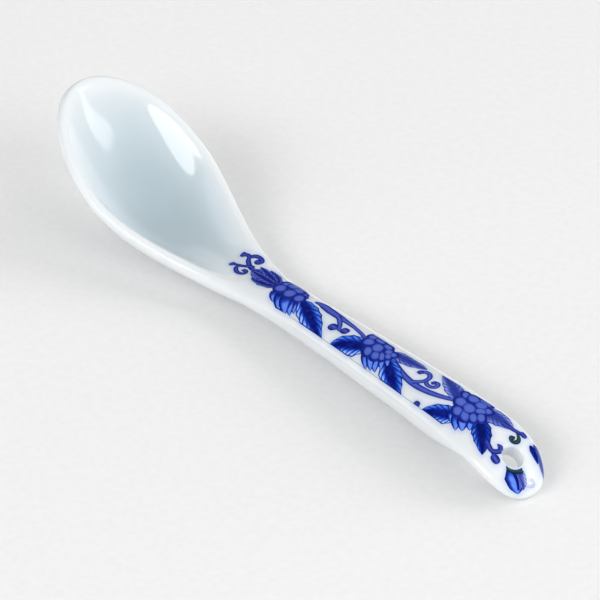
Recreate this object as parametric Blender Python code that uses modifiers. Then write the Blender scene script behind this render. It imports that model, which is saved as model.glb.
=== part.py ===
"""Porcelain teaspoon with a printed handle, in metres, +Z up, resting on z = 0.

The body is one casting: an egg-shaped bowl that runs through a narrow neck
into a solid handle, whose round end droops to the table and has a hanging
hole. The blue scrollwork lies on the handle as thin transfers, each motif an
island of its own that is drawn flat and then wrapped over the handle.

Stations run along the spoon from the bowl's tip (0) to the handle's end.
"""
import bmesh
import bpy
import math
import numpy as np
from mathutils import Matrix, Vector

# Plan, measured along the spoon from the bowl's tip
OVERALL_LENGTH = 0.1300
BOWL_WIDTH = 0.0279
WIDEST_AT = 0.0200
NECK_AT = 0.0660
NECK_WIDTH = 0.0090
END_WIDTH = 0.0130
END_ROUND = 0.0090

# Side view: heights of the edge line above the table
TIP_HEIGHT = 0.0242
WIDEST_HEIGHT = 0.0134
NECK_HEIGHT = 0.0055
CREST_AT = 0.1110
CREST_HEIGHT = 0.0069
END_HEIGHT = 0.0006

# Sections
BOWL_DEPTH = 0.0091
HANDLE_CROWN = 0.0007
WALL = 0.0024
HANDLE_THICKNESS = 0.0044
END_THICKNESS = 0.0028
HANDLE_BELLY = 0.0047
FOOT_CUT = 0.0002

# Hanging hole, with its softened mouth
HOLE_DIAMETER = 0.0040
HOLE_LIP = 0.0006
HOLE_FROM_END = 0.0058

# Printed transfers
PRINT_START = 0.0470
PRINT_HALF_WIDTH = 0.0048
HOLE_MARGIN = 0.0004
TRANSFER_GAP = 0.0003
TRANSFER_FILM = 0.00015
STEM_WIDTH = 0.0008
CURL_WIDTH = 0.0005
CURL_RADIUS = 0.0010
CURL_SPAN = 0.0024
TIP_LEAF_LENGTH = 0.0034
TIP_LEAF_WIDTH = 0.0017
TIP_LEAF_SLANT = 38

# Shape of the curves: knots as shares between the sizes above
RIM_SWEEP = ((0.5, 0.53),)
RIM_FALL = ((0.22, 0.47), (0.44, 0.15), (0.70, 0.0))
WIDTH_FALL = ((0.11, 0.932), (0.22, 0.79), (0.43, 0.46), (0.65, 0.18), (0.83, 0.04))
HANDLE_FLARE = ((0.40, 0.25), (0.69, 0.60), (0.91, 0.94))
DEPTH_CURVE = ((0.075, 0.43), (0.15, 0.74), (0.23, 0.93), (0.30, 1.0), (0.38, 0.97), (0.46, 0.86),
               (0.61, 0.53), (0.77, 0.21), (0.92, 0.02))
BELLY_RISE = (0.30, 0.60)
BELLY_FADE = (-0.3, 0.85)
SECTION_POWER = 2.8
HANDLE_POWER = 2.6
BELLY_POWER = 2.4
END_POWER = 2.3
LIP_SHARPNESS = 6.0

# Print drawing: places and sizes in units of a flat sheet that is stretched over the print's run
SHEET_LENGTH = 77.6
SHEET_HALF_WIDTH = 4.8
BUD = {"centre": (8.4, 1.2), "length": 9.0, "width": 3.8, "direction": -14}
BUD_CURL = {"centre": (1.9, 2.4), "direction": 110}
PETALS = 9
PETAL_SWELL = 0.09
# Each flower head: its centre, its radius and its leaves as (direction in degrees, reach)
FLOWER_HEADS = (((17.0, 0.4), 3.3, ((-21, 13.5), (245, 4.6))),
                ((43.0, 0.2), 3.2, ((-28, 11.5), (206, 8.6), (18, 8.2))),
                ((65.5, 0.4), 3.5, ((-30, 9.2), (25, 8.6), (163, 8.6), (222, 6.2))))
LEAF_HALF_ANGLE = 17.0
# Each stem: where it starts, where it ends and how far it bows aside
STEMS = (((22.6, 2.0), (38.4, 1.5), 0.2), ((49.2, -0.6), (60.2, -1.3), -0.9))
STEM_CURLS = ((32.6, -0.9), (55.2, 1.0))
EDGE_BUD = {"centre": (57.6, -4.2), "length": 1.8, "width": 1.1, "direction": 20}
CURL_TURNS = 0.85
CURL_TIGHTENING = 0.45

# Mesh fineness
STATIONS = 76
HALF_RING = 18
SECTION_SAMPLES = 121
FILM_STEP_ALONG = 0.0030
FILM_STEP_ACROSS = 0.0012
OUTLINE_STEPS = 48
HOLE_STEPS = 40


def clear_scene():
    for item in list(bpy.data.objects):
        bpy.data.objects.remove(item, do_unlink=True)


def spline(knots, x, start_slope=None, end_slope=None):
    """Cubic spline through (place, value) knots, natural or with set end slopes."""
    place, value = np.array(knots, dtype=float).T
    count = len(place)
    gap = np.diff(place)
    rise = np.diff(value) / gap
    system = np.zeros((count, count))
    known = np.zeros(count)
    for i in range(1, count - 1):
        system[i, i - 1:i + 2] = gap[i], 2 * (gap[i - 1] + gap[i]), gap[i - 1]
        known[i] = 3 * (gap[i] * rise[i - 1] + gap[i - 1] * rise[i])
    for row, near, slope, end_rise in ((0, 1, start_slope, rise[0]), (-1, -2, end_slope, rise[-1])):
        if slope is None:
            system[row, row], system[row, near], known[row] = 2, 1, 3 * end_rise
        else:
            system[row, row], known[row] = 1, slope
    slopes = np.linalg.solve(system, known)
    x = np.asarray(x, dtype=float)
    i = np.clip(np.searchsorted(place, x) - 1, 0, count - 2)
    t = (x - place[i]) / gap[i]
    return (value[i] * (1 + 2 * t) * (1 - t) ** 2 + slopes[i] * gap[i] * t * (1 - t) ** 2
            + value[i + 1] * t * t * (3 - 2 * t) + slopes[i + 1] * gap[i] * t * t * (t - 1))


def between(start, end, low, high, shares):
    """Knots at shares of the way from start to end, at shares of the way from high down to low."""
    return [(start + t * (end - start), low + s * (high - low)) for t, s in shares]


def edge_height(x):
    """Height of the rim line of the bowl and of the widest line of the handle."""
    knots = [(0.0, TIP_HEIGHT)]
    knots += between(0.0, WIDEST_AT, WIDEST_HEIGHT, TIP_HEIGHT, RIM_SWEEP)
    knots += [(WIDEST_AT, WIDEST_HEIGHT)]
    knots += between(WIDEST_AT, NECK_AT, NECK_HEIGHT, WIDEST_HEIGHT, RIM_FALL)
    knots += [(NECK_AT, NECK_HEIGHT), (CREST_AT, CREST_HEIGHT)]
    knots += between(CREST_AT, OVERALL_LENGTH, END_HEIGHT, CREST_HEIGHT, ((0.30, 0.975), (0.63, 0.76)))
    knots += [(OVERALL_LENGTH, END_HEIGHT)]
    return spline(knots, x)


def half_width(x):
    """Plan outline: elliptic front, eased flank, straight flare, round end."""
    x = np.asarray(x, dtype=float)
    end_at = OVERALL_LENGTH - END_ROUND
    knots = [(WIDEST_AT, BOWL_WIDTH)]
    knots += between(WIDEST_AT, NECK_AT, NECK_WIDTH, BOWL_WIDTH, WIDTH_FALL)
    knots += [(NECK_AT, NECK_WIDTH)]
    knots += between(NECK_AT, end_at, NECK_WIDTH, END_WIDTH, HANDLE_FLARE)
    knots += [(end_at, END_WIDTH)]
    middle = spline(knots, np.clip(x, WIDEST_AT, end_at), 0.0, 0.0) / 2
    ahead = np.clip((WIDEST_AT - x) / WIDEST_AT, 0, 1)
    front = BOWL_WIDTH / 2 * np.sqrt(1 - ahead ** 2)
    past = np.clip((x - end_at) / END_ROUND, 0, 1)
    back = END_WIDTH / 2 * (1 - past ** END_POWER) ** (1 / END_POWER)
    return np.where(x < WIDEST_AT, front, np.where(x > end_at, back, middle))


def dip(x):
    """Depth of the section's middle below its edges: the bowl dips, the handle crowns."""
    knots = [(0.0, 0.0)]
    knots += between(0.0, NECK_AT, 0.0, BOWL_DEPTH, DEPTH_CURVE)
    knots += [(NECK_AT + 0.1 * (CREST_AT - NECK_AT), -0.8 * HANDLE_CROWN), (CREST_AT, -HANDLE_CROWN)]
    knots += [(OVERALL_LENGTH, 0.0)]
    return spline(knots, x)


def thickness(x):
    middle = (WIDEST_AT + NECK_AT) / 2
    knots = [(0.0, WALL), (WIDEST_AT, WALL), (middle, WALL + 0.25 * (HANDLE_THICKNESS - WALL))]
    knots += [(NECK_AT, WALL + 0.95 * (HANDLE_THICKNESS - WALL))]
    knots += [((NECK_AT + CREST_AT) / 2, HANDLE_THICKNESS), (CREST_AT, HANDLE_THICKNESS)]
    knots += [(OVERALL_LENGTH, END_THICKNESS)]
    return spline(knots, x)


def ease(x, start, end):
    """Smooth step from 0 at start to 1 at end."""
    t = np.clip((x - start) / (end - start), 0, 1)
    return t * t * (3 - 2 * t)


def belly(x, share):
    """How much deeper the handle's rounded underside is than its upper side."""
    rise = ease(x, WIDEST_AT + BELLY_RISE[0] * (NECK_AT - WIDEST_AT),
                NECK_AT + BELLY_RISE[1] * (CREST_AT - NECK_AT))
    fade = ease(x, *[CREST_AT + share_past * (OVERALL_LENGTH - CREST_AT) for share_past in BELLY_FADE])
    depth = HANDLE_BELLY * rise * (1 - fade)
    return depth * (1 - np.abs(share) ** BELLY_POWER) ** (1 / BELLY_POWER)


def edge_power(x):
    """Section edge: a full round lip on the bowl, an oval on the handle."""
    handle_start = NECK_AT - 0.09 * NECK_AT
    bowl_end = WIDEST_AT + 0.45 * (NECK_AT - WIDEST_AT)
    bowl_share = 1 - np.clip((x - bowl_end) / (handle_start - bowl_end), 0, 1)
    return np.maximum(HANDLE_POWER, LIP_SHARPNESS * half_width(x) / thickness(x) * bowl_share)


def end_round(x):
    """Rounds the thickness off at the bowl's tip and at the handle's end."""
    factor = 1.0
    for distance, full in ((x, WALL), (OVERALL_LENGTH - x, END_THICKNESS)):
        share = np.clip(distance / (full / 2), 0, 1)
        factor = factor * np.sqrt(1 - (1 - share) ** 2)
    return factor


def middle_height(x, y):
    share = np.abs(y) / np.maximum(half_width(x), 1e-9)
    return edge_height(x) - dip(x) * (1 - share ** SECTION_POWER)


def shell_point(x, share, side):
    """Point of the skin at station x and share -1 to 1 of the half width; side 1 is the top."""
    nudge = 1e-6
    y = share * half_width(x)
    low = np.clip(x - nudge, 0, OVERALL_LENGTH)
    high = np.clip(x + nudge, 0, OVERALL_LENGTH)
    slope_x = (middle_height(high, y) - middle_height(low, y)) / (high - low)
    slope_y = (dip(x) * SECTION_POWER * np.abs(share) ** (SECTION_POWER - 1) * np.sign(share)
               / np.maximum(half_width(x), 1e-9))
    normal = np.stack([-slope_x, -slope_y, np.ones_like(slope_x)], axis=-1)
    normal /= np.linalg.norm(normal, axis=-1, keepdims=True)
    offset = thickness(x) / 2 * np.sqrt(1 - np.abs(share) ** edge_power(x)) * end_round(x)
    skin = np.stack([x, y, middle_height(x, y)], axis=-1) + side * offset[..., None] * normal
    if side < 0:
        skin[..., 2] -= belly(x, share)
    return skin


def body_rings():
    """Closed rings of skin points, from just behind the bowl's tip to just before the end."""
    turn = np.linspace(0, math.pi, STATIONS)[1:-1]
    x = OVERALL_LENGTH / 2 * (1 - np.cos(turn))
    share = np.sin(np.linspace(-math.pi / 2, math.pi / 2, HALF_RING + 1))
    station, across = np.meshgrid(x, share, indexing="ij")
    top = shell_point(station, across, 1)
    under = shell_point(station, across, -1)
    return np.concatenate([top, under[:, -2:0:-1]], axis=1)


RINGS = body_rings()
# The model's origin is under the middle of the spoon, and its lowest curve is ground off flat.
ORIGIN = np.array([(RINGS[..., 0].min() + RINGS[..., 0].max()) / 2, 0.0,
                   RINGS[RINGS[..., 0] < NECK_AT][:, 2].min() + FOOT_CUT])


def material(name, colour, roughness):
    shade = bpy.data.materials.new(name)
    shade.use_nodes = True
    shader = shade.node_tree.nodes["Principled BSDF"]
    shader.inputs["Base Color"].default_value = (*colour, 1.0)
    shader.inputs["Roughness"].default_value = roughness
    shader.inputs["Metallic"].default_value = 0.0
    return shade


def new_object(name, mesh, collection, shade=None):
    item = bpy.data.objects.new(name, mesh)
    collection.objects.link(item)
    if shade:
        mesh.materials.append(shade)
    return item


def smooth(mesh, angle):
    mesh.shade_smooth()
    mesh.set_sharp_from_angle(angle=angle)


def loft_body():
    """Skins the rings into one closed casting with a pole at each end."""
    shape = bmesh.new()
    rings = [[shape.verts.new(Vector(p - ORIGIN)) for p in ring] for ring in RINGS]
    for first, second in zip(rings, rings[1:]):
        for i in range(len(first)):
            j = (i + 1) % len(first)
            shape.faces.new((first[i], first[j], second[j], second[i]))
    ends = ((rings[0], 0.0), (rings[-1], OVERALL_LENGTH))
    for ring, x in ends:
        pole = shape.verts.new(Vector(np.array([x, 0.0, float(edge_height(x))]) - ORIGIN))
        for i in range(len(ring)):
            shape.faces.new((ring[i], ring[(i + 1) % len(ring)], pole))
    bmesh.ops.recalc_face_normals(shape, faces=shape.faces[:])
    mesh = bpy.data.meshes.new("spoon_body")
    shape.to_mesh(mesh)
    shape.free()
    smooth(mesh, math.radians(50))
    return mesh


def cut_by(item, cutter):
    cut = item.modifiers.new(cutter.name, "BOOLEAN")
    cut.operation = "DIFFERENCE"
    cut.solver = "EXACT"
    cut.object = cutter
    cutter.hide_render = True
    cutter.display_type = "WIRE"


def hole_frame():
    """Matrix at the hole's centre, its Z along the handle's local normal, and half the depth there."""
    x = np.array([OVERALL_LENGTH - HOLE_FROM_END])
    top = shell_point(x, np.zeros(1), 1)[0]
    under = shell_point(x, np.zeros(1), -1)[0]
    through = Vector(top - under)
    turn = Vector((0, 0, 1)).rotation_difference(through).to_matrix().to_4x4()
    return Matrix.Translation(Vector((top + under) / 2 - ORIGIN)) @ turn, through.length / 2


def hole_cutter(collection):
    """Spool that drills the hole and rounds both its mouths."""
    radius = HOLE_DIAMETER / 2
    place, half = hole_frame()
    lip = [(radius + HOLE_LIP * (1 - math.cos(a)), half - HOLE_LIP * (1 - math.sin(a)))
           for a in np.linspace(math.pi / 2, 0, 5)]
    outer = (radius + HOLE_LIP, half + HANDLE_THICKNESS)
    upper = [(0.0, outer[1]), outer] + [(r, z) for r, z in lip]
    profile = upper + [(r, -z) for r, z in reversed(upper)]
    mesh = bpy.data.meshes.new("hanging_hole_cutter")
    mesh.from_pydata([(r, 0.0, z) for r, z in profile], [(i, i + 1) for i in range(len(profile) - 1)], [])
    cutter = new_object("hanging_hole_cutter", mesh, collection)
    cutter.matrix_world = place
    turn = cutter.modifiers.new("turn", "SCREW")
    turn.steps = HOLE_STEPS
    turn.render_steps = HOLE_STEPS
    turn.use_merge_vertices = True
    turn.merge_threshold = 0.00001
    return cutter


def foot_cutter(collection):
    """Slab under the table plane that grinds the spoon's resting spots flat."""
    slab = bmesh.new()
    bmesh.ops.create_cube(slab, size=1.0)
    size = Vector((2 * OVERALL_LENGTH, 2 * BOWL_WIDTH, BOWL_DEPTH))
    bmesh.ops.scale(slab, vec=size, verts=slab.verts[:])
    mesh = bpy.data.meshes.new("foot_cutter")
    slab.to_mesh(mesh)
    slab.free()
    cutter = new_object("foot_cutter", mesh, collection)
    cutter.location = (0, 0, -BOWL_DEPTH / 2)
    return cutter


def on_handle(along, across):
    """Top skin points for places along the spoon and arc lengths across from its crest."""
    share = np.sin(np.linspace(-math.pi / 2, math.pi / 2, SECTION_SAMPLES))
    station, shares = np.meshgrid(along, share, indexing="ij")
    section = shell_point(station, shares, 1)
    step = np.linalg.norm(np.diff(section, axis=1), axis=2)
    arc = np.concatenate([np.zeros((len(along), 1)), np.cumsum(step, axis=1)], axis=1)
    arc -= arc[:, SECTION_SAMPLES // 2][:, None]
    return np.array([[np.interp(b, arc[i], section[i, :, k]) for k in range(3)]
                     for i, b in enumerate(across)])


def wrap(points):
    """Carries flat (along, across, height) points onto the handle, along its surface normal."""
    along, across, height = np.array(points).T
    nudge = 0.00005
    place = on_handle(along, across)
    ahead = on_handle(along + nudge, across) - on_handle(along - nudge, across)
    aside = on_handle(along, across + nudge) - on_handle(along, across - nudge)
    normal = np.cross(ahead, aside)
    normal /= np.linalg.norm(normal, axis=1, keepdims=True)
    return place + height[:, None] * normal - ORIGIN


def flat_film(name, outline):
    """Flat closed film from a filled outline, as a mesh sliced into a grid."""
    curve = bpy.data.curves.new(name, "CURVE")
    curve.dimensions = "2D"
    curve.fill_mode = "BOTH"
    curve.extrude = TRANSFER_FILM / 2
    path = curve.splines.new("POLY")
    path.points.add(len(outline) - 1)
    for point, (a, b) in zip(path.points, outline):
        point.co = (a, b, 0.0, 1.0)
    path.use_cyclic_u = True
    guide = bpy.data.objects.new(name + "_outline", curve)
    bpy.context.scene.collection.objects.link(guide)
    evaluated = guide.evaluated_get(bpy.context.evaluated_depsgraph_get())
    mesh = bpy.data.meshes.new_from_object(evaluated)
    bpy.data.objects.remove(guide, do_unlink=True)
    film = bmesh.new()
    film.from_mesh(mesh)
    bmesh.ops.remove_doubles(film, verts=film.verts[:], dist=0.000002)
    corners = np.array(outline)
    for axis, normal, step in ((0, (1, 0, 0), FILM_STEP_ALONG), (1, (0, 1, 0), FILM_STEP_ACROSS)):
        first = math.ceil(corners[:, axis].min() / step)
        last = math.floor(corners[:, axis].max() / step)
        for line in range(first, last + 1):
            everything = film.verts[:] + film.edges[:] + film.faces[:]
            bmesh.ops.bisect_plane(film, geom=everything, plane_co=Vector(normal) * line * step,
                                   plane_no=normal, dist=0.000005)
    bmesh.ops.remove_doubles(film, verts=film.verts[:], dist=0.000005)
    bmesh.ops.triangulate(film, faces=film.faces[:])
    return film, mesh


def transfer(name, outline, collection, shade, body):
    """One printed island: a flat film wrapped over the handle with its seat gap."""
    film, mesh = flat_film(name, outline)
    rise = TRANSFER_GAP + TRANSFER_FILM / 2
    wrapped = wrap([(v.co.x, v.co.y, v.co.z + rise) for v in film.verts])
    for vert, place in zip(film.verts, wrapped):
        vert.co = Vector(place)
    bmesh.ops.recalc_face_normals(film, faces=film.faces[:])
    film.to_mesh(mesh)
    film.free()
    smooth(mesh, math.radians(40))
    item = new_object(name, mesh, collection, shade)
    item.parent = body
    return item


def print_run():
    return OVERALL_LENGTH - HOLE_FROM_END - PRINT_START


def spread(points, centre):
    """Stretches points of the flat sheet, about a centre on it, over the printed run."""
    along = print_run() / SHEET_LENGTH
    across = PRINT_HALF_WIDTH / SHEET_HALF_WIDTH
    return [(PRINT_START + (centre[0] + a) * along,
             max(-PRINT_HALF_WIDTH, (centre[1] + b) * across)) for a, b in points]


def turned(points, direction, centre=(0.0, 0.0)):
    """Points turned by a direction in degrees and moved to a centre."""
    turn = math.radians(direction)
    return [(centre[0] + a * math.cos(turn) - b * math.sin(turn),
             centre[1] + a * math.sin(turn) + b * math.cos(turn)) for a, b in points]


def blossom(radius, leaves):
    """Star-shaped outline of a flower head with its pointed leaves."""
    points = []
    for turn in np.linspace(0, 2 * math.pi, 2 * OUTLINE_STEPS, endpoint=False):
        reach = radius * (1 + PETAL_SWELL * math.cos(PETALS * turn))
        for direction, length in leaves:
            away = (turn - math.radians(direction) + math.pi) % (2 * math.pi) - math.pi
            off_axis = min(1.0, abs(away) / math.radians(LEAF_HALF_ANGLE))
            reach += (length - radius) * math.cos(off_axis * math.pi / 2) ** 1.3
        points.append((reach * math.cos(turn), reach * math.sin(turn)))
    return points


def leaf(length, width, direction):
    """Lens-shaped leaf about its middle."""
    sides = []
    for side in (1, -1):
        for t in np.linspace(0, 1, OUTLINE_STEPS // 4, endpoint=False):
            sides.append((side * length * (t - 0.5), -side * width / 2 * math.sin(math.pi * t) ** 0.8))
    return turned(sides, direction)


def ribbon(path, width):
    """Closed outline of a band of even width along a path of points."""
    line = np.array(path)
    run = np.gradient(line, axis=0)
    run /= np.linalg.norm(run, axis=1, keepdims=True)
    side = np.stack([-run[:, 1], run[:, 0]], axis=1) * width / 2
    return [tuple(p) for p in np.concatenate([line + side, (line - side)[::-1]])]


def arc_stem(start, end, bow):
    """Path from start to end that bows aside."""
    return [(start[0] + t * (end[0] - start[0]),
             start[1] + t * (end[1] - start[1]) + bow * math.sin(math.pi * t))
            for t in np.linspace(0, 1, OUTLINE_STEPS // 3)]


def curl(span):
    """Path that rolls up clockwise from the top, its curl's centre half a span aside."""
    path = []
    for t in np.linspace(0, 1, OUTLINE_STEPS // 3):
        angle = math.pi / 2 - t * CURL_TURNS * 2 * math.pi
        radius = CURL_RADIUS * (1 - CURL_TIGHTENING * t)
        path.append((span / 2 + radius * math.cos(angle), radius * math.sin(angle)))
    return path


def volute():
    """Path of a band with a curl rolled up at each end."""
    half = curl(CURL_SPAN)
    return [(-a, b) for a, b in reversed(half)] + half


def build_transfers(collection, body):
    blue = material("cobalt_underglaze", (0.016, 0.030, 0.28), 0.12)
    navy = material("dark_cobalt_underglaze", (0.008, 0.014, 0.12), 0.12)
    hole_at = OVERALL_LENGTH - HOLE_FROM_END
    clear = HOLE_DIAMETER / 2 + HOLE_LIP + HOLE_MARGIN

    def add(name, outline, shade=blue):
        return transfer(name, outline, collection, shade, body)

    def lone_leaf(shape):
        return spread(leaf(shape["length"], shape["width"], shape["direction"]), shape["centre"])

    def band(place, direction):
        return ribbon(turned(volute(), direction, spread([(0, 0)], place)[0]), CURL_WIDTH)

    add("bud_transfer", lone_leaf(BUD), navy)
    add("bud_curl_transfer", band(BUD_CURL["centre"], BUD_CURL["direction"]), navy)
    for number, (centre, radius, leaves) in enumerate(FLOWER_HEADS, start=1):
        add(f"flower_transfer_{number}", spread(blossom(radius, leaves), centre))
    for number, ((start, end, bow), place) in enumerate(zip(STEMS, STEM_CURLS), start=1):
        path = spread(arc_stem(start, end, bow), (0, 0))
        add(f"stem_transfer_{number}", ribbon(path, STEM_WIDTH))
        add(f"stem_curl_transfer_{number}", band(place, 0))
    add("edge_bud_transfer", lone_leaf(EDGE_BUD))
    for name, side in (("right", 1), ("left", -1)):
        place = (hole_at + 0.55 * clear, side * (clear + TIP_LEAF_WIDTH / 2))
        tip_leaf = turned(leaf(TIP_LEAF_LENGTH, TIP_LEAF_WIDTH, 0), -TIP_LEAF_SLANT * side, place)
        add(f"tip_leaf_transfer_{name}", tip_leaf, navy)
        place = (hole_at - 0.75 * clear, side * clear)
        tendril = turned(curl(0.0), 90 + 40 * side, place)
        add(f"tendril_transfer_{name}", ribbon(tendril, CURL_WIDTH), navy)


def main():
    clear_scene()
    parts = bpy.data.collections.new("porcelain_teaspoon")
    cutters = bpy.data.collections.new("cutters")
    for group in (parts, cutters):
        bpy.context.scene.collection.children.link(group)
    porcelain = material("celadon_white_porcelain", (0.80, 0.86, 0.88), 0.10)
    body = new_object("spoon_body", loft_body(), parts, porcelain)
    cut_by(body, hole_cutter(cutters))
    cut_by(body, foot_cutter(cutters))
    build_transfers(parts, body)


main()
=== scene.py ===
"""Looks of a porcelain teaspoon with a blue underglaze print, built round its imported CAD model.

The glazed body is a finer skin of the same loft as the solid. The print is drawn flat, in
millimetres along the spoon from the bowl's tip and across the handle from its crest, and is
then laid on that skin.
"""
import math

import bmesh
import bpy
import numpy as np
from mathutils import Matrix, Vector
from mathutils.kdtree import KDTree


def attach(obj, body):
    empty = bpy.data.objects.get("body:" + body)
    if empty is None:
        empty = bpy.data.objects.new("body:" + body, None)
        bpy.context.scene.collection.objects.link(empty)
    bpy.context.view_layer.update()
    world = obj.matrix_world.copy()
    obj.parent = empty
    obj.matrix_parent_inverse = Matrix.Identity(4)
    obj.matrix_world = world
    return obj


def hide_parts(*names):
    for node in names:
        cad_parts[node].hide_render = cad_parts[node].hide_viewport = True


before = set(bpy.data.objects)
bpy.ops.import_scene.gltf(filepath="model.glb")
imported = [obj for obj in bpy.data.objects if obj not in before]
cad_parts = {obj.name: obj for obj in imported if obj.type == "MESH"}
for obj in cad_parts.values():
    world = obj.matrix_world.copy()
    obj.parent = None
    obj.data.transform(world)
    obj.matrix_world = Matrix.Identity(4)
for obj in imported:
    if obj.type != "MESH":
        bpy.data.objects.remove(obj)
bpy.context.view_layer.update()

MM = 0.001

# Plan of the casting, measured along the spoon from the bowl's tip, in metres
OVERALL_LENGTH = 0.1300
BOWL_WIDTH = 0.0279
WIDEST_AT = 0.0200
NECK_AT = 0.0660
NECK_WIDTH = 0.0090
END_WIDTH = 0.0130
END_ROUND = 0.0090

# Side view: heights of the edge line above the table
TIP_HEIGHT = 0.0242
WIDEST_HEIGHT = 0.0134
NECK_HEIGHT = 0.0055
CREST_AT = 0.1110
CREST_HEIGHT = 0.0069
END_HEIGHT = 0.0006

# Sections
BOWL_DEPTH = 0.0091
HANDLE_CROWN = 0.0007
WALL = 0.0024
HANDLE_THICKNESS = 0.0044
END_THICKNESS = 0.0028
HANDLE_BELLY = 0.0047
FOOT_CUT = 0.0002

# Hanging hole, with its softened mouth
HOLE_DIAMETER = 0.0040
HOLE_LIP = 0.0006
HOLE_FROM_END = 0.0058

# Shape of the curves: knots as shares between the sizes above
RIM_SWEEP = ((0.5, 0.53),)
RIM_FALL = ((0.22, 0.47), (0.44, 0.15), (0.70, 0.0))
END_DROOP = ((0.30, 0.975), (0.63, 0.76))
WIDTH_FALL = ((0.11, 0.932), (0.22, 0.79), (0.43, 0.46), (0.65, 0.18), (0.83, 0.04))
HANDLE_FLARE = ((0.40, 0.25), (0.69, 0.60), (0.91, 0.94))
DEPTH_CURVE = ((0.075, 0.43), (0.15, 0.74), (0.23, 0.93), (0.30, 1.0), (0.38, 0.97), (0.46, 0.86),
               (0.61, 0.53), (0.77, 0.21), (0.92, 0.02))

# Shares: where the handle's crown has set in and how high it is there; the handle's extra thickness
# half way to the neck and at the neck; where the bowl's full lip starts to fade and where it ends;
# where the handle's belly starts and is full, and where it starts to fade and ends
CROWN_KNOT = (0.1, 0.8)
THICKENING = (0.25, 0.95)
LIP_FADE = (0.45, 0.91)
BELLY_RISE = (0.30, 0.60)
BELLY_FADE = (-0.3, 0.85)

# Powers of the rounded sections and of the handle's round end, squarer as they rise, and how sharply
# the lip rounds off
SECTION_POWER = 2.8
HANDLE_POWER = 2.6
BELLY_POWER = 2.4
END_POWER = 2.3
LIP_SHARPNESS = 6.0

# Glaze: how far up a face looks where it pools, the share of the way to the neck at which the pooled
# tint starts to fade, and the share of that tint taken off towards the bowl's left wall, a painted light
# that lifts the wall's shaded inner face
POOL_FACING = (0.05, 0.5)
POOL_FADE = 0.8
NEAR_WALL_PAINTED_LIGHT = 0.7

# Mesh fineness of the glazed body; degrees from which an edge is sharp; distance that merges points
# and width that stands for none, in metres
STATIONS = 280
HALF_RING = 56
SECTION_SAMPLES = 121
HOLE_STEPS = 96
LIP_STEPS = 9
SHARP_ANGLE = 50
MERGE_DISTANCE = 1e-6
NO_WIDTH = 1e-9

# Print: lift of its lowest layer over the glaze, step between layers, and reach of the faint blue
# that bleeds from it into the glaze, in metres
PRINT_LIFT = 0.00002
LAYER_STEP = 0.000008
BLEED_REACH = 0.0007

# Layers of the print: the petals' first one, how far their ground lies under it, how far a cut's
# line lies over what it cuts, and how much higher each shape lies than the one before it
PETAL_LAYER = 5
GROUND_DROP = 0.5
CUT_LINE_RISE = 0.5
GROUND_STEP = 0.02
PETAL_STEP = 0.25
BLADE_STEP = 0.5
BALL_STEP = 0.1

# Drawn lines, half widths, and the ground's rim round each petal, in millimetres; how far petals
# and blades spread into one another; how near a cut a point counts as on it
CUT_LINE_HALF = 0.10
SHEET_LINE_HALF = 0.05
GROUND_RIM = 0.36
PETAL_SWELL = 1.17
BLADE_SWELL = 1.35
CUT_TOLERANCE = 1e-5

# Straight edges of the transfer sheet: (station, place across) in millimetres
LOW_EDGE = ((60, -4.15), (68, -4.2), (77, -4.6), (87, -5.0), (96, -5.4), (104, -5.55), (116, -5.6))
HIGH_EDGE = ((60, 3.5), (70, 2.7), (77, 2.5), (86, 2.3), (99, 2.4), (104, 3.8), (109, 4.1), (112, 4.7),
             (116, 5.4), (121, 5.5))

# Camera at the photograph's viewing angle, and the spot that it looks at
CAMERA_AIM = (-0.00705, 0.00711, 0.0)
CAMERA_TURN = 50.63
CAMERA_RISE = 35.0
CAMERA_DISTANCE = 0.65
CAMERA_LENS = 207.09
CAMERA_SENSOR = 36.0


def spline(knots, x, start_slope=None, end_slope=None):
    """Cubic spline through (place, value) knots, natural or with set end slopes."""
    place, value = np.array(knots, dtype=float).T
    count = len(place)
    gap = np.diff(place)
    rise = np.diff(value) / gap
    system = np.zeros((count, count))
    known = np.zeros(count)
    for i in range(1, count - 1):
        system[i, i - 1:i + 2] = gap[i], 2 * (gap[i - 1] + gap[i]), gap[i - 1]
        known[i] = 3 * (gap[i] * rise[i - 1] + gap[i - 1] * rise[i])
    for row, near, slope, end_rise in ((0, 1, start_slope, rise[0]), (-1, -2, end_slope, rise[-1])):
        if slope is None:
            system[row, row], system[row, near], known[row] = 2, 1, 3 * end_rise
        else:
            system[row, row], known[row] = 1, slope
    slopes = np.linalg.solve(system, known)
    x = np.asarray(x, dtype=float)
    i = np.clip(np.searchsorted(place, x) - 1, 0, count - 2)
    t = (x - place[i]) / gap[i]
    return (value[i] * (1 + 2 * t) * (1 - t) ** 2 + slopes[i] * gap[i] * t * (1 - t) ** 2
            + value[i + 1] * t * t * (3 - 2 * t) + slopes[i + 1] * gap[i] * t * t * (t - 1))


def between(start, end, low, high, shares):
    """Knots at shares of the way from start to end, with values at shares of the way from low to high."""
    return [(start + t * (end - start), low + s * (high - low)) for t, s in shares]


def edge_height(x):
    """Height of the rim line of the bowl and of the widest line of the handle."""
    knots = [(0.0, TIP_HEIGHT)]
    knots += between(0.0, WIDEST_AT, WIDEST_HEIGHT, TIP_HEIGHT, RIM_SWEEP)
    knots += [(WIDEST_AT, WIDEST_HEIGHT)]
    knots += between(WIDEST_AT, NECK_AT, NECK_HEIGHT, WIDEST_HEIGHT, RIM_FALL)
    knots += [(NECK_AT, NECK_HEIGHT), (CREST_AT, CREST_HEIGHT)]
    knots += between(CREST_AT, OVERALL_LENGTH, END_HEIGHT, CREST_HEIGHT, END_DROOP)
    knots += [(OVERALL_LENGTH, END_HEIGHT)]
    return spline(knots, x)


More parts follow.
